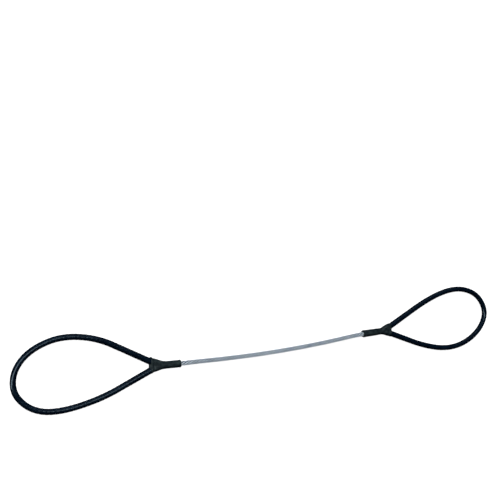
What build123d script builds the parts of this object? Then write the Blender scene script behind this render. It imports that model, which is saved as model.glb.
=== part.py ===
from build123d import *
import os
from math import cos, pi, radians, sin, tan

# A wire rope sling, 650 mm long, with a soft eye at each end. The eyes are covered in black shrink
# tube and each neck is closed by a moulded rubber boot. The sling lies on a surface at Z = 0, with
# its length along X. All sizes are in millimetres.

ROPE_DIAMETER = 5.1              # 5 mm nominal rope, as laid
TUBE_OUTER_DIAMETER = 7.0        # shrink tube over the eyes
RUNNING_GAP = 0.05               # left all round between pieces that sit inside each other
ARC_SHARE = 0.45                 # how much of the shorter run each arc of a rope takes up

# The neck boot: a fan that takes the two legs of the eye, then a round tail over the rope.
RIM_DIAMETER = 9.2               # the rim at the tail's mouth, which rests on the surface
TAIL_DIAMETER = 8.8
WAIST_DIAMETER = 8.3
FAN_THICKNESS = 8.5
FAN_LENGTH = 16.0
FAN_END_WIDTH = 9.0
FAN_RIM_STEP = 0.3               # how far the rim stands out from the fan at its sides
FAN_RIM_THICKNESS = 9.1
FAN_RIM_LENGTH = 2.6
FAN_RIM_ROUND = 1.0
WAIST_POSITION = 18.5            # from the crotch edge, as are the other positions along the neck
TAIL_START = 22.0
RIM_LENGTH = 2.6
RIM_ROUND = 0.6
MOUTH_DIAMETER = 5.7             # the lip that closes round the rope

# The pressed steel sleeve in the boot's tail, and the strand ends that it holds.
PRESSED_START = 17.0
PRESSED_OUTER_DIAMETER = 7.3
PRESSED_BORE_DIAMETER = 6.3
PRESSED_EDGE_ROUND = 0.25
MOUTH_TO_PRESSED = 6.0           # from the boot's mouth back to the pressed sleeve
STRAND_COUNT = 6
STRAND_END_THICKNESS = 0.5
STRAND_END_WIDTH_DEGREES = 54.0
STRAND_END_MARGIN = 1.0          # how far the strand ends stop short of the sleeve's ends

TUBE_START = 3.0                 # how far the tube's ends reach into the boot
LEG_REACH = 12.0                 # the straight stretch of each leg that the boot is shrunk over
ROPE_END_GAP = 0.3               # between the free span and the right neck's rope, on another body

NECK_HEIGHT = RIM_DIAMETER / 2
CROWN_HEIGHT = TUBE_OUTER_DIAMETER / 2

# Each end: the point where the neck's axis meets the boot's crotch edge, the way the neck points, the
# width of the fan's wide edge and how far it leans towards +Y, and the eye's route, from the upper leg
# round the crown to the lower leg. The route's points are the corners of the loop.
ENDS = {
    "left": {
        "crotch": (-168.0, -5.7),
        "neck_angle": -3.0,
        "fan_width": 19.2,
        "fan_lean": 1.1,
        "boot_length": 36.6,
        "throat": 10.5,
        "eye": [(-226.5, 34.5), (-266.5, 41.6), (-301.0, 31.0), (-320.6, 11.0), (-323.2, -14.5),
                (-304.0, -35.5), (-274.5, -41.0), (-228.0, -33.5)],
        "split_after": 4,
    },
    "right": {
        "crotch": (162.7, -4.5),
        "neck_angle": 180.0,
        "fan_width": 17.8,
        "fan_lean": 0.0,
        "boot_length": 42.7,
        "throat": 10.2,
        "eye": [(224.0, 27.5), (259.5, 37.5), (288.5, 37.5), (314.0, 25.5), (325.0, 1.0),
                (311.5, -21.5), (283.5, -37.0), (251.0, -41.0), (214.0, -32.0)],
        "split_after": 5,
    },
}

# The free span's route between the two boots' mouths.
FREE_ROUTE = [(-110.0, -8.2, 4.0), (-76.0, -9.7, 3.0), (-28.0, -10.4, 2.6), (24.0, -9.6, 2.7),
              (70.0, -7.6, 3.2), (100.0, -5.4, 4.2)]


def neck_point(end, distance):
    """A point on the neck's axis, at a distance from the crotch edge towards the free span."""
    x, y = end["crotch"]
    angle = radians(end["neck_angle"])
    return Vector(x + distance * cos(angle), y + distance * sin(angle), NECK_HEIGHT)


def neck_place(end):
    """The neck's own frame: X along the neck towards the free span, Z up, at the crotch edge."""
    x, y = end["crotch"]
    return Location((x, y, NECK_HEIGHT), (0, 0, end["neck_angle"]))


def eye_point(end, x, y):
    """A corner of the eye. The loop slopes down from the neck until its crown rests."""
    start = end["crotch"][0]
    crown = max((point[0] for point in end["eye"]), key=abs)
    share = (x - start) / (crown - start)
    return Vector(x, y, NECK_HEIGHT + (CROWN_HEIGHT - NECK_HEIGHT) * share)


def eye_route(end):
    """Every corner of the eye's rope, from the throat round the loop and back to the throat."""
    throat = neck_point(end, end["throat"])
    loop = [eye_point(end, x, y) for x, y in end["eye"]]
    return [throat, *loop, throat]


def turn_at(points, index):
    """The angle in degrees by which the route turns at a corner."""
    return (points[index] - points[index - 1]).get_angle(points[index + 1] - points[index])


def corner_radii(points):
    """The largest arcs that the runs on both sides of each corner leave room for."""
    radii = []
    for index in range(1, len(points) - 1):
        before = (points[index] - points[index - 1]).length
        after = (points[index + 1] - points[index]).length
        turn = radians(turn_at(points, index))
        radii.append(ARC_SHARE * min(before, after) / tan(turn / 2))
    return radii


def round_bar(path, diameter):
    """A solid round bar along a path."""
    section = (path ^ 0) * Circle(diameter / 2)
    return sweep(section, path=path)


def straight_bar(start, stop, diameter):
    """A solid round bar between two points."""
    place = Plane(origin=start, z_dir=stop - start)
    ends = (Align.CENTER, Align.CENTER, Align.MIN)
    return place * Cylinder(diameter / 2, (stop - start).length, align=ends)


def neck_bar(end, start, stop, diameter):
    """A round bar on the neck's axis."""
    return straight_bar(neck_point(end, start), neck_point(end, stop), diameter)


def pressed_end(end):
    return end["boot_length"] - MOUTH_TO_PRESSED


def leg_points(end, distance):
    """The points on the eye's two legs at a distance from the throat."""
    throat, first, *_, last, _ = eye_route(end)
    return [throat + (corner - throat).normalized() * distance for corner in (first, last)]


def eye_rope(end):
    """The rope of one eye, made of two halves, and its stub in the neck, with a ball at the throat."""
    route = eye_route(end)
    radii = corner_radii(route)
    split = end["split_after"]
    middle = (route[split] + route[split + 1]) * 0.5
    upper = FilletPolyline(*route[:split + 1], middle, radius=radii[:split])
    lower = FilletPolyline(middle, *route[split + 1:], radius=radii[split:])
    loop = round_bar(upper, ROPE_DIAMETER) + round_bar(lower, ROPE_DIAMETER)
    ball = Pos(*route[0]) * Sphere(ROPE_DIAMETER / 2)
    return loop + ball + neck_bar(end, end["throat"], pressed_end(end), ROPE_DIAMETER)


def eye_sleeve(end):
    """The shrink tube over one eye, whose ends reach into the boot."""
    route = eye_route(end)
    start, stop = leg_points(end, end["throat"] - TUBE_START)
    path = FilletPolyline(start, *route[1:-1], stop, radius=corner_radii(route))
    outside = round_bar(path, TUBE_OUTER_DIAMETER)
    return outside - round_bar(path, ROPE_DIAMETER + 2 * RUNNING_GAP)


def fan_section(distance, width, thickness):
    """A flat oval across the neck."""
    return Plane.YZ.offset(distance) * SlotOverall(width, thickness)


def boot_fan(width, lean):
    """The flat fan of the boot, with a rounded rim along its crotch edge."""
    wide = Pos(0, lean, 0) * fan_section(0, width, FAN_THICKNESS)
    narrow = fan_section(FAN_LENGTH, FAN_END_WIDTH, FAN_THICKNESS)
    rim = extrude(fan_section(0, width + 2 * FAN_RIM_STEP, FAN_RIM_THICKNESS), FAN_RIM_LENGTH)
    rim = Pos(0, lean, 0) * fillet(rim.edges().filter_by(Plane.YZ), FAN_RIM_ROUND)
    return loft([wide, narrow]) + rim


def boot_tail(length):
    """The round tail of the boot, from inside the fan to the rim at its mouth."""
    radius = TAIL_DIAMETER / 2
    waist = WAIST_DIAMETER / 2
    rim = RIM_DIAMETER / 2
    inside_fan = FAN_LENGTH - FAN_RIM_LENGTH
    flank = Spline([(inside_fan, waist), (WAIST_POSITION, waist), (TAIL_START, radius)],
                   tangents=[(1, 0), (1, 0)])
    body = Line((TAIL_START, radius), (length - RIM_LENGTH - RIM_ROUND, radius))
    step = Line(body @ 1, (length - RIM_LENGTH, rim))
    top = Line(step @ 1, (length - RIM_ROUND, rim))
    lip = RadiusArc(top @ 1, (length, rim - RIM_ROUND), RIM_ROUND)
    mouth = Line(lip @ 1, (length, 0))
    axis = Line((length, 0), (inside_fan, 0))
    back = Line((inside_fan, 0), (inside_fan, waist))
    outline = make_face([flank, body, step, top, lip, mouth, axis, back])
    return revolve(outline, Axis.X)


def neck_boot(end):
    """The moulded boot, with everything that it is shrunk over cut out of it."""
    length = end["boot_length"]
    rope_bore = ROPE_DIAMETER + 2 * RUNNING_GAP
    throat = neck_point(end, end["throat"])
    boot = neck_place(end) * (boot_fan(end["fan_width"], end["fan_lean"]) + boot_tail(length))
    boot -= neck_bar(end, end["throat"] - ROPE_DIAMETER, pressed_end(end), rope_bore)
    tube_ends = leg_points(end, end["throat"] - TUBE_START - RUNNING_GAP)
    leg_ends = leg_points(end, end["throat"] + LEG_REACH)
    for tube_end, leg_end in zip(tube_ends, leg_ends):
        boot -= straight_bar(throat, leg_end, rope_bore)
        boot -= straight_bar(tube_end, leg_end, TUBE_OUTER_DIAMETER + 2 * RUNNING_GAP)
    boot -= neck_bar(end, PRESSED_START - RUNNING_GAP, pressed_end(end) + RUNNING_GAP,
                     PRESSED_OUTER_DIAMETER + 2 * RUNNING_GAP)
    return boot - neck_bar(end, pressed_end(end), length + RIM_LENGTH, MOUTH_DIAMETER)


def pressed_sleeve(end):
    """The steel sleeve, with rounded edges."""
    outside = neck_bar(end, PRESSED_START, pressed_end(end), PRESSED_OUTER_DIAMETER)
    outside = fillet(outside.edges().filter_by(GeomType.CIRCLE), PRESSED_EDGE_ROUND)
    bore = neck_bar(end, PRESSED_START - RIM_LENGTH, pressed_end(end) + RIM_LENGTH, PRESSED_BORE_DIAMETER)
    return outside - bore


def strand_ends(end):
    """The six strand ends, pressed flat in a ring between the rope and the pressed sleeve."""
    inner = ROPE_DIAMETER / 2 + RUNNING_GAP
    outer = inner + STRAND_END_THICKNESS
    start = PRESSED_START + STRAND_END_MARGIN
    length = pressed_end(end) - STRAND_END_MARGIN - start
    half = STRAND_END_WIDTH_DEGREES / 2
    inner_arc = CenterArc((0, 0), inner, -half, 2 * half)
    outer_arc = CenterArc((0, 0), outer, -half, 2 * half)
    section = make_face([inner_arc, outer_arc, Line(inner_arc @ 0, outer_arc @ 0),
                         Line(inner_arc @ 1, outer_arc @ 1)])
    strand = Rot(0, 90, 0) * extrude(section, length)
    place = neck_place(end) * Pos(start, 0, 0)
    step = 360 / STRAND_COUNT
    return Compound([place * Rot(step * index, 0, 0) * strand for index in range(STRAND_COUNT)])


def free_rope():
    """The bare span of rope between the two pressed sleeves, and its route."""
    left, right = ENDS["left"], ENDS["right"]
    route = [neck_point(left, pressed_end(left)), neck_point(left, left["boot_length"]),
             *[Vector(*point) for point in FREE_ROUTE],
             neck_point(right, right["boot_length"]),
             neck_point(right, pressed_end(right) + ROPE_END_GAP)]
    radii = corner_radii(route)
    path = FilletPolyline(*route, radius=radii)
    print("free span arcs, mm:", [round(radius) for radius in radii])
    return path


def check_bar(name, solid, path):
    """Compare a bar's volume with its section times its length."""
    expected = pi * ROPE_DIAMETER ** 2 / 4 * path.length
    print(f"{name}: {path.length:.1f} mm long, volume {solid.volume / expected:.4f} of section x length")


os.makedirs("parts", exist_ok=True)

span = free_rope()
wire_rope = round_bar(span, ROPE_DIAMETER)
check_bar("wire_rope", wire_rope, span)
export_step(wire_rope, "parts/wire_rope.step")

for side, end in ENDS.items():
    print(side, "eye arcs, mm:", [round(radius) for radius in corner_radii(eye_route(end))])
    pieces = {
        "eye_rope": eye_rope(end),
        "strand_ends": strand_ends(end),
        "pressed_sleeve": pressed_sleeve(end),
        "eye_sleeve": eye_sleeve(end),
        "neck_boot": neck_boot(end),
    }
    for name, piece in pieces.items():
        export_step(piece, f"parts/{side}_{name}.step")
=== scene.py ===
from math import cos, pi, radians, sin

import bpy
import numpy as np
from mathutils import Matrix, Vector


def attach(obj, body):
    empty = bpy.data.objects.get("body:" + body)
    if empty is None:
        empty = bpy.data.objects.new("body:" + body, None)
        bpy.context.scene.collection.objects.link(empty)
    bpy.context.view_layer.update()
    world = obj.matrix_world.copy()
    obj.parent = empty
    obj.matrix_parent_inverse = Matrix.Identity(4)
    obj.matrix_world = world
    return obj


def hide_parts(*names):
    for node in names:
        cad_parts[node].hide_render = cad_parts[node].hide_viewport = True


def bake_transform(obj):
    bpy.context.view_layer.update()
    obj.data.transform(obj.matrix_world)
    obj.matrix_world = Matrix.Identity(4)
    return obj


# A wire rope sling with a sheathed soft eye at each end, lying on a pale floor. Lengths are in metres,
# except for the boots' sections, which are in mm.

MM = 0.001

# The camera, at the photograph's viewing angle.
CAMERA_POSITION = (-0.4595, 0.0979, 0.9311)
CAMERA_RIGHT = (0.9027, -0.0998, 0.4185)
CAMERA_UP = (0.0827, 0.9948, 0.0588)
CAMERA_LENS = 60.3
CAMERA_CLIP_START = 0.01

# The rope: six strands of seven wires laid round a core strand.
ROPE_DIAMETER = 0.0057
STRAND_COUNT = 6
WIRE_COUNT = 6                    # round the middle wire of each strand
WIRE_RADIUS = 0.00031
STRAND_RADIUS = 3 * WIRE_RADIUS
STRAND_LAY = 0.031
WIRE_LAY = 0.013
LOBE_POINTS = 5                   # points round the outside of each wire
LOBE_SHARE = 0.98                 # how far these points reach, as a share of the wire's radius
LOBE_CORNER_SHARE = 0.9           # the same at the valley between two wires
CORE_RADIUS = ROPE_DIAMETER / 6
CORE_SIDES = 10
ROPE_STEP = 0.0009
GROOVE_DEPTH = 0.18               # share of the radius below the rope's outside at which the painted shade in the grooves is full

# The shrink tube over the eyes.
TUBE_RADIUS = 0.0037
TUBE_CROWN_RADIUS = 0.0034        # it is stretched thinner round the crown
TUBE_INNER_RADIUS = 0.0026
TUBE_RIDGE = 0.00007              # how far the strands show through
TUBE_UNEVENNESS = 0.00004
TUBE_WAVES = (310, 127)           # of the unevenness, in radians per metre along the tube
TUBE_STEP = 0.0012
TUBE_SIDES = 48
TUBE_START = 0.003                # how far its ends reach into the boot

NECK_HEIGHT = 0.0046
CROWN_HEIGHT = 0.0035

# The free span's route, from inside the left boot to inside the right one.
ROPE_ROUTE = [(-0.13744, -0.00730, 0.0046), (-0.13145, -0.00762, 0.0046), (-0.110, -0.0082, 0.0040),
              (-0.076, -0.0098, 0.0030), (-0.028, -0.0108, 0.0028), (0.024, -0.0101, 0.0028),
              (0.070, -0.0080, 0.0032), (0.100, -0.0056, 0.0042), (0.120, -0.0045, 0.0046),
              (0.1257, -0.0045, 0.0046)]

# Each end: the neck, the route of its eye, and the boot. The boot's sections are in mm, and a distance is
# counted from the crotch edge towards the free span. upper and lower are (distance, half width) above and
# below the neck's axis, rim_bands are (distance, width, height), and bumps are (distance, degrees round the
# neck, size, height).
ENDS = {
    "left": {
        "body": "left_end",
        "crotch": (-0.168, -0.0057),
        "neck_angle": -3.0,
        "boot_length": 0.0366,
        "throat": 0.0105,
        "eye": [(-0.192, 0.0141), (-0.2265, 0.0345), (-0.2665, 0.0416), (-0.301, 0.031), (-0.3206, 0.011),
                (-0.3232, -0.0145), (-0.304, -0.0355), (-0.2745, -0.041), (-0.228, -0.0335),
                (-0.188, -0.0180)],
        "upper": [(0, 10.6), (3, 9.5), (6.5, 8.1), (10.2, 6.7), (13.8, 5.4), (17.4, 4.55), (20, 4.2),
                  (25, 4.4), (38, 4.4)],
        "lower": [(0, 8.5), (3, 7.6), (6.5, 6.6), (10.2, 5.6), (13.8, 4.7), (17.4, 4.45), (25, 4.4),
                  (38, 4.3)],
        "rim_bands": [(1.3, 1.2, 0.30), (3.7, 0.8, -0.30), (35.6, 0.9, 0.15)],
        "bumps": [(33.1, 80, 0.9, 0.30)],
    },
    "right": {
        "body": "right_end",
        "crotch": (0.1627, -0.0045),
        "neck_angle": 180.0,
        "boot_length": 0.0427,
        "throat": 0.0102,
        "eye": [(0.1835, 0.0094), (0.224, 0.0275), (0.2595, 0.0375), (0.2885, 0.0375), (0.314, 0.0255),
                (0.325, 0.001), (0.3115, -0.0215), (0.2835, -0.037), (0.251, -0.041), (0.214, -0.032),
                (0.1790, -0.0163)],
        "upper": [(0, 8.7), (3, 8.4), (5.6, 7.9), (9, 6.6), (12.3, 4.8), (15.5, 4.1), (22, 4.4), (32, 4.5),
                  (43, 4.5)],
        "lower": [(0, 8.8), (3, 8.0), (5.6, 7.2), (9, 5.7), (12.3, 4.6), (15.5, 4.1), (22, 4.4), (32, 4.5),
                  (43, 4.5)],
        "rim_bands": [(1.0, 0.9, 0.15), (40.5, 1.6, 0.25)],
        "bumps": [(7.0, 60, 1.3, 0.35), (3.5, 75, 1.2, 0.25), (24, 95, 2.2, 0.15)],
    },
}
# Both boots' sections, in mm. The pinch is the share of the height that is taken off between the legs.
BOOT_THICKNESS = [(0, 8.5), (6, 8.4), (14, 8.3), (20, 8.3), (25, 8.8), (45, 8.8)]
BOOT_PINCH = [(0, 0.34), (5, 0.22), (11, 0.0), (45, 0.0)]
BOOT_PINCH_WIDTH = 2.6
BOOT_FLOOR = 4.58                 # how far below the neck's axis a boot may reach
# The end towards the eye: a web bulges out between the legs, inside the rounded edge of the collar.
# Each pair is a distance from the crotch edge and a share of the full section.
BOOT_WEB = [(-1.7, 0.04), (-1.6, 0.30), (-1.1, 0.52), (-0.3, 0.68), (0.35, 0.80), (0.3, 0.90),
            (0.05, 0.945), (0.0, 0.97), (0.15, 0.99)]
# The other end, by the distance before the mouth: the edge is rounded, and the mouth goes in a little way.
BOOT_BACK = [(0.35, 0.995), (0.12, 0.975), (0.0, 0.93)]
BOOT_BODY_START = 0.5             # the full sections start this far from the crotch edge
BOOT_BODY_END = 0.6               # and stop this far before the mouth
BOOT_MOUTH_RADIUS = 2.8
BOOT_MOUTH_DEPTH = 3
BOOT_OVAL = 0.25                  # how gently the flat faces turn into the round sides
BOOT_SWELL = 0.012                # the rubber's unevenness, as a share of the section
BOOT_WAVES = (0.9, 0.37)          # of the unevenness, in radians per mm along the neck
BOOT_SIDES = 64
BOOT_STEP = 0.45

# Every smooth line is read from its NURBS spline this finely, before it is divided into even steps.
SPLINE_RESOLUTION = 40
# The boots' tables are smoothed over this distance each way, in mm.
SMOOTHING_REACH = 1.5
SMOOTHING_SAMPLES = 7

# Materials: noise scales are per metre, depths in metres, and colours are linear red, green and blue.
STEEL_METALLIC = 0.45
STAIN_SCALE = 260
SCRATCH_SCALE = 2600
SCRATCH_DEPTH = 0.00004
POLYMER_GRAIN_SCALE = 1800
WIRE_ROUGHNESS = (0.28, 0.45)
WIRE_EDGE = (0.25, 0.28, 0.40)
# The colour of the painted shade in the rope's grooves, between its strands and wires.
GROOVE_SHADE = (0.008, 0.012, 0.04)

# The studio: a white floor that gives off most of its own light, a dim sky, a panel behind, a strip at the
# left and a soft sun from behind. Powers are in watts and the sun's angle is in degrees.
FLOOR_HALF_SIZE = 12.0
FLOOR_FIBRE_SCALE = 900
FLOOR_SHADES = (0.20, 0.22)
FLOOR_GLOW = 4.4
SKY_STOPS = [(0.0, 0.04), (0.02, (0.19, 0.22, 0.27))]
PANEL = {"start": (-0.9, 1.6, 0.8), "stop": (1.5, 1.6, 0.8), "width": 1.0, "power": 2.2}
STRIP = {"start": (-2.3, -0.3, 0.25), "stop": (0.3, 0.6, 2.1), "width": 0.30, "power": 22}
FILL_FROM = (0.0, 1.0, 0.85)
FILL_STRENGTH = 6.5
FILL_ANGLE = 30.0


# ---------------------------------------------------------------- curves and meshes

def spline_points(route, step):
    """Points at even steps, about step apart, along the smooth NURBS line of a route."""
    curve = bpy.data.curves.new("route", "CURVE")
    curve.dimensions = "3D"
    spline = curve.splines.new("NURBS")
    spline.points.add(len(route) - 1)
    for point, place in zip(spline.points, route):
        point.co = (*place, 1)
    spline.order_u = 3
    spline.use_endpoint_u = True
    spline.resolution_u = SPLINE_RESOLUTION
    holder = bpy.data.objects.new("route", curve)
    line = bpy.data.meshes.new_from_object(holder)
    places = np.array([vertex.co for vertex in line.vertices])
    bpy.data.objects.remove(holder)
    bpy.data.meshes.remove(line)
    bpy.data.curves.remove(curve)
    run = np.concatenate([[0], np.cumsum(np.linalg.norm(np.diff(places, axis=0), axis=1))])
    stations = np.linspace(0, run[-1], int(run[-1] / step) + 1)
    return np.column_stack([np.interp(stations, run, places[:, axis]) for axis in range(3)])


def frames_along(points):
    """The distance along a line and, at each point, its side and up directions."""
    tangent = np.gradient(points, axis=0)
    tangent /= np.linalg.norm(tangent, axis=1)[:, None]
    side = np.cross(tangent, (0, 0, 1))
    side /= np.linalg.norm(side, axis=1)[:, None]
    up = np.cross(side, tangent)
    run = np.concatenate([[0], np.cumsum(np.linalg.norm(np.diff(points, axis=0), axis=1))])
    return run, side, up


def ring_faces(rings, sides, closed_ends):
    """Quads between neighbouring rings, with a face over each end if they are closed."""
    faces = []
    for ring in range(rings - 1):
        for side in range(sides):
            after = (side + 1) % sides
            faces.append((ring * sides + side, ring * sides + after,
                          (ring + 1) * sides + after, (ring + 1) * sides + side))
    if closed_ends:
        faces.append(tuple(reversed(range(sides))))
        faces.append(tuple(range((rings - 1) * sides, rings * sides)))
    return faces


def mesh_object(name, vertices, faces, material):
    """A smooth-shaded mesh with one material, in the scene."""
    mesh = bpy.data.meshes.new(name)
    mesh.from_pydata([tuple(vertex) for vertex in vertices], [], faces)
    mesh.validate()
    mesh.shade_smooth()
    mesh.materials.append(material)
    piece = bpy.data.objects.new(name, mesh)
    bpy.context.collection.objects.link(piece)
    return piece


def add_attribute(piece, name, values):
    """One number for each point of a mesh, which a material can read."""
    attribute = piece.data.attributes.new(name, "FLOAT", "POINT")
    attribute.data.foreach_set("value", np.asarray(values, dtype=np.float32))


def smooth_noise(*waves):
    """A repeatable uneven value between about -1 and 1, from a few sine waves."""
    return sum(np.sin(wave) for wave in waves) / len(waves)


# ---------------------------------------------------------------- materials

def new_material(name):
    """An empty material, with its nodes, its links and its surface shader."""
    material = bpy.data.materials.new(name)
    material.use_nodes = True
    nodes = material.node_tree.nodes
    return material, nodes, material.node_tree.links, nodes["Principled BSDF"]


def noise_node(nodes, links, coordinates, scale, detail):
    """Noise that is fixed to the piece."""
    noise = nodes.new("ShaderNodeTexNoise")
    noise.inputs["Scale"].default_value = scale
    noise.inputs["Detail"].default_value = detail
    links.new(coordinates.outputs["Object"], noise.inputs["Vector"])
    return noise


def ramp_node(nodes, links, source, stops):
    """A colour ramp: stops are (position, grey or colour)."""
    ramp = nodes.new("ShaderNodeValToRGB")
    while len(ramp.color_ramp.elements) < len(stops):
        ramp.color_ramp.elements.new(0.5)
    for element, (position, colour) in zip(ramp.color_ramp.elements, stops):
        element.position = position
        element.color = (*colour, 1) if isinstance(colour, tuple) else (colour, colour, colour, 1)
    links.new(source, ramp.inputs["Fac"])
    return ramp


def bump_node(nodes, links, height, strength, distance):
    """Fine relief from a height of 0 to 1, distance deep."""
    bump = nodes.new("ShaderNodeBump")
    bump.inputs["Strength"].default_value = strength
    bump.inputs["Distance"].default_value = distance
    links.new(height, bump.inputs["Height"])
    return bump


def steel_material(name, light, dark, edge, roughness, groove=None):
    """Drawn steel: stains and fine scratches, a tint at its edges and, on the rope, painted shade in the
    grooves.
    """
    material, nodes, links, shader = new_material(name)
    coordinates = nodes.new("ShaderNodeTexCoord")
    stains = noise_node(nodes, links, coordinates, STAIN_SCALE, 4)
    scratches = noise_node(nodes, links, coordinates, SCRATCH_SCALE, 2)
    colour = ramp_node(nodes, links, stains.outputs["Fac"], [(0.3, dark), (0.55, light)])
    surface = colour.outputs["Color"]
    # Painted shade: the groove colour is mixed in the more, the deeper a point lies below the rope's
    # outside.
    if groove:
        depth = nodes.new("ShaderNodeAttribute")
        depth.attribute_name = "groove"
        painted_shade = nodes.new("ShaderNodeMix")
        painted_shade.data_type = "RGBA"
        links.new(depth.outputs["Fac"], painted_shade.inputs["Factor"])
        links.new(surface, painted_shade.inputs["A"])
        painted_shade.inputs["B"].default_value = (*groove, 1)
        surface = painted_shade.outputs["Result"]
    links.new(surface, shader.inputs["Base Color"])
    shine = ramp_node(nodes, links, scratches.outputs["Fac"], [(0.3, roughness[0]), (0.7, roughness[1])])
    links.new(shine.outputs["Color"], shader.inputs["Roughness"])
    relief = bump_node(nodes, links, scratches.outputs["Fac"], 0.25, SCRATCH_DEPTH)
    links.new(relief.outputs["Normal"], shader.inputs["Normal"])
    shader.inputs["Specular Tint"].default_value = (*edge, 1)
    shader.inputs["Metallic"].default_value = STEEL_METALLIC
    return material


def polymer_material(name, light, dark, roughness, gloss, sheen, patch_scale, grain_depth):
    """Black tube or rubber: uneven patches of sheen over a fine grain."""
    material, nodes, links, shader = new_material(name)
    coordinates = nodes.new("ShaderNodeTexCoord")
    patches = noise_node(nodes, links, coordinates, patch_scale, 3)
    grain = noise_node(nodes, links, coordinates, POLYMER_GRAIN_SCALE, 3)
    colour = ramp_node(nodes, links, patches.outputs["Fac"], [(0.35, dark), (0.7, light)])
    links.new(colour.outputs["Color"], shader.inputs["Base Color"])
    shine = ramp_node(nodes, links, patches.outputs["Fac"], [(0.3, roughness[0]), (0.7, roughness[1])])
    links.new(shine.outputs["Color"], shader.inputs["Roughness"])
    relief = bump_node(nodes, links, grain.outputs["Fac"], 0.3, grain_depth)
    links.new(relief.outputs["Normal"], shader.inputs["Normal"])
    shader.inputs["Specular IOR Level"].default_value = gloss
    shader.inputs["Specular Tint"].default_value = (*sheen, 1)
    return material


# ---------------------------------------------------------------- the rope

def strand_profile():
    """The fluted outline of a strand: the outsides of six wires round a middle one."""
    outline = []
    half = pi / 2 + pi / WIRE_COUNT
    for wire in range(WIRE_COUNT):
        middle = 2 * pi * wire / WIRE_COUNT
        for point in range(LOBE_POINTS):
            angle = middle - half + 2 * half * point / (LOBE_POINTS - 1)
            reach = LOBE_SHARE if 0 < point < LOBE_POINTS - 1 else LOBE_CORNER_SHARE
            outline.append((2 * WIRE_RADIUS * cos(middle) + reach * WIRE_RADIUS * cos(angle),
                            2 * WIRE_RADIUS * sin(middle) + reach * WIRE_RADIUS * sin(angle)))
    return np.array(outline)


def build_rope(material):
    """The free span: six fluted strands in a right-hand lay, round a plain core."""
    points = spline_points(ROPE_ROUTE, ROPE_STEP)
    run, side, up = frames_along(points)
    profile = strand_profile()
    helix_radius = ROPE_DIAMETER / 2 - STRAND_RADIUS
    vertices, faces, groove = [], [], []
    for strand in range(STRAND_COUNT):
        turn = 2 * pi * (run / STRAND_LAY + strand / STRAND_COUNT)
        out = np.cos(turn)[:, None] * side + np.sin(turn)[:, None] * up
        across = -np.sin(turn)[:, None] * side + np.cos(turn)[:, None] * up
        middle = points + helix_radius * out
        twist = 2 * pi * run / WIRE_LAY
        first = len(vertices)
        for ring in range(len(points)):
            c, s = cos(twist[ring]), sin(twist[ring])
            x = profile[:, 0] * c - profile[:, 1] * s
            y = profile[:, 0] * s + profile[:, 1] * c
            vertices.extend(middle[ring] + x[:, None] * out[ring] + y[:, None] * across[ring])
            # Painted shade in the grooves: 0 on the rope's outside, rising to 1 at GROOVE_DEPTH below it.
            depth = 1 - np.hypot(helix_radius + x, y) / (ROPE_DIAMETER / 2)
            groove.extend(np.clip(depth / GROOVE_DEPTH, 0, 1))
        faces.extend([tuple(first + corner for corner in face)
                      for face in ring_faces(len(points), len(profile), True)])
    first = len(vertices)
    for ring in range(len(points)):
        for corner in range(CORE_SIDES):
            angle = 2 * pi * corner / CORE_SIDES
            vertices.append(points[ring] + CORE_RADIUS * (cos(angle) * side[ring] + sin(angle) * up[ring]))
    # The core, deep inside the rope, gets the full painted shade.
    groove.extend([1.0] * (len(vertices) - first))
    faces.extend([tuple(first + corner for corner in face)
                  for face in ring_faces(len(points), CORE_SIDES, True)])
    rope = mesh_object("rope_strands", vertices, faces, material)
    add_attribute(rope, "groove", groove)
    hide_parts("wire_rope")
    return rope, points


# ---------------------------------------------------------------- the eyes

def eye_height(end, x):
    """The height of the tube's axis, which falls evenly from the neck to the crown."""
    start = end["crotch"][0]
    crown = max((point[0] for point in end["eye"]), key=abs)
    return NECK_HEIGHT + (CROWN_HEIGHT - NECK_HEIGHT) * (x - start) / (crown - start)


def neck_matrix(end):
    """The neck's place: its origin at the crotch edge and its X towards the free span."""
    place = Matrix.Translation((*end["crotch"], NECK_HEIGHT))
    return place @ Matrix.Rotation(radians(end["neck_angle"]), 4, "Z")


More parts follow.
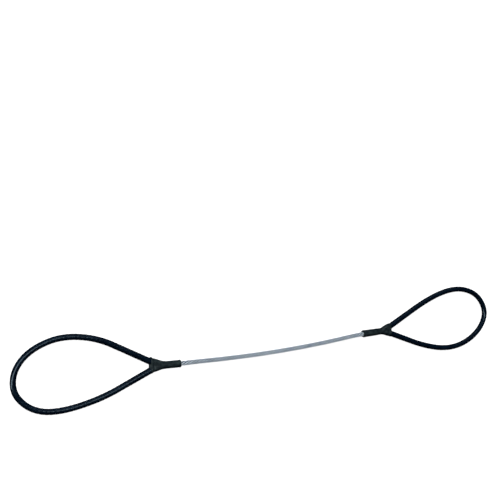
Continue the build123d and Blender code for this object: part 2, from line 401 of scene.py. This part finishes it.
def build_eye_sleeve(name, end, material):
    """The shrink tube round one eye, with the strands showing faintly through it."""
    throat = neck_matrix(end) @ Vector((end["throat"], 0, 0))
    route = [throat, *[(x, y, eye_height(end, x)) for x, y in end["eye"]], throat]
    points = spline_points(route, TUBE_STEP)
    run, side, up = frames_along(points)
    keep = (run > end["throat"] - TUBE_START) & (run < run[-1] - end["throat"] + TUBE_START)
    points, run, side, up = points[keep], run[keep], side[keep], up[keep]
    share = (run - run[0]) / (run[-1] - run[0])
    radius = TUBE_RADIUS + (TUBE_CROWN_RADIUS - TUBE_RADIUS) * np.sin(pi * share)
    angle = 2 * pi * np.arange(TUBE_SIDES) / TUBE_SIDES
    ridge = np.cos(STRAND_COUNT * (angle[None, :] - 2 * pi * run[:, None] / STRAND_LAY))
    uneven = smooth_noise(run[:, None] * TUBE_WAVES[0] + angle[None, :],
                          run[:, None] * TUBE_WAVES[1] - 2 * angle[None, :])
    outer = radius[:, None] + TUBE_RIDGE * ridge + TUBE_UNEVENNESS * uneven
    inner = np.full_like(outer, TUBE_INNER_RADIUS)
    out = np.cos(angle)[None, :, None] * side[:, None, :] + np.sin(angle)[None, :, None] * up[:, None, :]
    outside = points[:, None, :] + outer[:, :, None] * out
    inside = points[::-1, None, :] + inner[::-1, :, None] * out[::-1]
    rings = np.concatenate([outside, inside, outside[:1]])
    vertices = rings[:-1].reshape(-1, 3)
    faces = ring_faces(len(rings) - 1, TUBE_SIDES, False)
    last = (len(rings) - 2) * TUBE_SIDES
    for corner in range(TUBE_SIDES):
        after = (corner + 1) % TUBE_SIDES
        faces.append((last + corner, last + after, after, corner))
    sleeve = mesh_object(f"{name}_shrink_tube", vertices, faces, material)
    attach(sleeve, end["body"])
    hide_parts(f"{name}_eye_sleeve")


# ---------------------------------------------------------------- the boots

def along(table, distance):
    """A smooth value from a table of (distance, value) pairs."""
    stations, values = zip(*table)
    spread = np.linspace(-SMOOTHING_REACH, SMOOTHING_REACH, SMOOTHING_SAMPLES)
    return np.mean([np.interp(distance + shift, stations, values) for shift in spread], axis=0)


def boot_section(end, distance, angle):
    """The boot's outline at a distance along the neck, in mm: a flat oval, pinched between the legs."""
    band = sum(depth * np.exp(-((distance - place) / width) ** 2)
               for place, width, depth in end["rim_bands"])
    upper, lower = along(end["upper"], distance) + band, along(end["lower"], distance) + band
    half_height = along(BOOT_THICKNESS, distance) / 2 + band
    middle, reach = (upper - lower) / 2, (upper + lower) / 2
    flat = max(reach - half_height, 0)
    across = np.cos(angle)
    y = flat * (1 + BOOT_OVAL) * across / (np.abs(across) + BOOT_OVAL) + min(reach, half_height) * across
    round_part = np.clip((np.abs(y) - flat) / (reach - flat), 0, 1)
    z = np.sign(np.sin(angle)) * half_height * np.sqrt(1 - round_part ** 2)
    z *= 1 - along(BOOT_PINCH, distance) * np.exp(-(y / BOOT_PINCH_WIDTH) ** 2)
    swell = 1 + BOOT_SWELL * smooth_noise(distance * BOOT_WAVES[0] + 2 * angle,
                                          distance * BOOT_WAVES[1] - 3 * angle)
    for place, degrees, size, depth in end["bumps"]:
        around = (angle - radians(degrees)) * half_height
        swell = swell + depth / half_height * np.exp(-((distance - place) ** 2 + around ** 2) / size ** 2)
    return middle, y * swell, z * swell


def build_boot(name, end, material):
    """The moulded boot: a fan over the two legs that narrows to a round tail with a rim."""
    length = end["boot_length"] / MM
    facing = 1 if cos(radians(end["neck_angle"])) > 0 else -1
    angle = 2 * pi * (np.arange(BOOT_SIDES) + 0.5) / BOOT_SIDES
    rings = []
    body = [(station, 1.0) for station in np.arange(BOOT_BODY_START, length - BOOT_BODY_END, BOOT_STEP)]
    back = [(length - before, scale) for before, scale in BOOT_BACK]
    for distance, scale in BOOT_WEB + body + back:
        middle, y, z = boot_section(end, max(distance, 0), angle)
        rings.append(np.column_stack([np.full_like(y, distance), facing * (middle + y * scale),
                                      np.maximum(z * scale, -BOOT_FLOOR)]))
    for distance in (length, length - BOOT_MOUTH_DEPTH):
        rings.append(np.column_stack([np.full_like(angle, distance),
                                      facing * BOOT_MOUTH_RADIUS * np.cos(angle),
                                      BOOT_MOUTH_RADIUS * np.sin(angle)]))
    place = neck_matrix(end)
    vertices = [place @ Vector(point * MM) for ring in rings for point in ring]
    faces = ring_faces(len(rings), BOOT_SIDES, True)
    if facing < 0:
        faces = [tuple(reversed(face)) for face in faces]
    boot = mesh_object(f"{name}_boot", vertices, faces, material)
    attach(boot, end["body"])
    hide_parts(f"{name}_neck_boot")


# ---------------------------------------------------------------- the studio

def build_floor():
    """A large pale sheet that stays out of reflections and doesn't light the sling."""
    material, nodes, links, shader = new_material("floor_paper")
    coordinates = nodes.new("ShaderNodeTexCoord")
    fibres = noise_node(nodes, links, coordinates, FLOOR_FIBRE_SCALE, 2)
    colour = ramp_node(nodes, links, fibres.outputs["Fac"], [(0.3, FLOOR_SHADES[0]), (0.7, FLOOR_SHADES[1])])
    links.new(colour.outputs["Color"], shader.inputs["Base Color"])
    shader.inputs["Roughness"].default_value = 0.9
    shader.inputs["Specular IOR Level"].default_value = 0.1
    links.new(colour.outputs["Color"], shader.inputs["Emission Color"])
    shader.inputs["Emission Strength"].default_value = FLOOR_GLOW
    half = FLOOR_HALF_SIZE
    mesh = bpy.data.meshes.new("floor")
    mesh.from_pydata([(-half, -half, 0), (half, -half, 0), (half, half, 0), (-half, half, 0)], [],
                     [(0, 1, 2, 3)])
    mesh.materials.append(material)
    floor = bpy.data.objects.new("floor", mesh)
    floor.visible_glossy = False
    floor.visible_diffuse = False
    bpy.context.collection.objects.link(floor)


def add_strip_light(name, start, stop, width, power):
    """A long soft light between two points, facing the middle of the sling."""
    start, stop = Vector(start), Vector(stop)
    middle = (start + stop) / 2
    light = bpy.data.lights.new(name, "AREA")
    light.shape = "RECTANGLE"
    light.size = (stop - start).length
    light.size_y = width
    light.energy = power
    long = (stop - start).normalized()
    back = (middle - middle.dot(long) * long).normalized()
    holder = bpy.data.objects.new(name, light)
    turn = Matrix((long, back.cross(long), back)).transposed().to_4x4()
    holder.matrix_world = Matrix.Translation(middle) @ turn
    bpy.context.collection.objects.link(holder)


def add_fill_light(name):
    """A soft sun that lights the rope from behind and above, and isn't mirrored in the black tube."""
    light = bpy.data.lights.new(name, "SUN")
    light.energy = FILL_STRENGTH
    light.angle = radians(FILL_ANGLE)
    holder = bpy.data.objects.new(name, light)
    holder.rotation_euler = Vector(FILL_FROM).to_track_quat("Z", "Y").to_euler()
    holder.visible_glossy = False
    bpy.context.collection.objects.link(holder)


def build_world():
    """A dim sky that isn't mirrored in the sling. The plain view transform keeps the floor white."""
    world = bpy.data.worlds.new("studio")
    world.use_nodes = True
    nodes, links = world.node_tree.nodes, world.node_tree.links
    coordinates = nodes.new("ShaderNodeTexCoord")
    split = nodes.new("ShaderNodeSeparateXYZ")
    links.new(coordinates.outputs["Generated"], split.inputs["Vector"])
    sky = ramp_node(nodes, links, split.outputs["Z"], SKY_STOPS)
    links.new(sky.outputs["Color"], nodes["Background"].inputs["Color"])
    world.cycles_visibility.glossy = False
    bpy.context.scene.world = world
    bpy.context.scene.view_settings.view_transform = "Standard"


def build_camera():
    """The camera at the photograph's place and angle."""
    right, up = Vector(CAMERA_RIGHT), Vector(CAMERA_UP)
    turn = Matrix((right, up, right.cross(up))).transposed().to_4x4()
    data = bpy.data.cameras.new("camera")
    data.lens = CAMERA_LENS
    data.clip_start = CAMERA_CLIP_START
    camera = bpy.data.objects.new("camera", data)
    camera.matrix_world = Matrix.Translation(CAMERA_POSITION) @ turn
    bpy.context.collection.objects.link(camera)
    bpy.context.scene.camera = camera


# ---------------------------------------------------------------- the scene

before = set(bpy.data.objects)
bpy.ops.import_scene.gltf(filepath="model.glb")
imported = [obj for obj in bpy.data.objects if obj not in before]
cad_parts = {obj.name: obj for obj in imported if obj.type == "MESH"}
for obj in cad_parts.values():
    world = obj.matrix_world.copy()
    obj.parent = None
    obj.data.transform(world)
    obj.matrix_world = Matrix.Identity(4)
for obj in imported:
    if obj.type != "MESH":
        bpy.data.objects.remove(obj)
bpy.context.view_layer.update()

build_camera()
bright_steel = steel_material("bright_wire", light=(0.66, 0.80, 0.86), dark=(0.30, 0.36, 0.46),
                              edge=WIRE_EDGE, roughness=WIRE_ROUGHNESS)
laid_steel = steel_material("laid_wire", light=(0.80, 0.92, 0.97), dark=(0.44, 0.54, 0.64),
                            edge=WIRE_EDGE, roughness=WIRE_ROUGHNESS, groove=GROOVE_SHADE)
plated_steel = steel_material("plated_sleeve", light=(0.62, 0.61, 0.56), dark=(0.45, 0.45, 0.43),
                              edge=(0.6, 0.6, 0.55), roughness=(0.35, 0.55))
tube_black = polymer_material("tube_black", light=(0.0010, 0.0035, 0.0075), dark=(0.0003, 0.0012, 0.0035),
                              roughness=(0.18, 0.26), gloss=0.45, sheen=(0.62, 0.84, 1.0),
                              patch_scale=90, grain_depth=0.00002)
boot_black = polymer_material("boot_black", light=(0.010, 0.015, 0.016), dark=(0.0015, 0.003, 0.0045),
                              roughness=(0.34, 0.50), gloss=0.25, sheen=(0.85, 1.0, 0.97),
                              patch_scale=260, grain_depth=0.00006)

rope, rope_line = build_rope(laid_steel)
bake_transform(rope)

for side_name, end in ENDS.items():
    build_eye_sleeve(side_name, end, tube_black)
    build_boot(side_name, end, boot_black)
    for node, material in (("eye_rope", bright_steel), ("strand_ends", bright_steel),
                           ("pressed_sleeve", plated_steel)):
        cad_piece = bpy.data.objects[f"{side_name}_{node}"]
        cad_piece.data.materials.clear()
        cad_piece.data.materials.append(material)

build_floor()
build_world()
add_strip_light("panel", **PANEL)
add_strip_light("strip", **STRIP)
add_fill_light("fill")
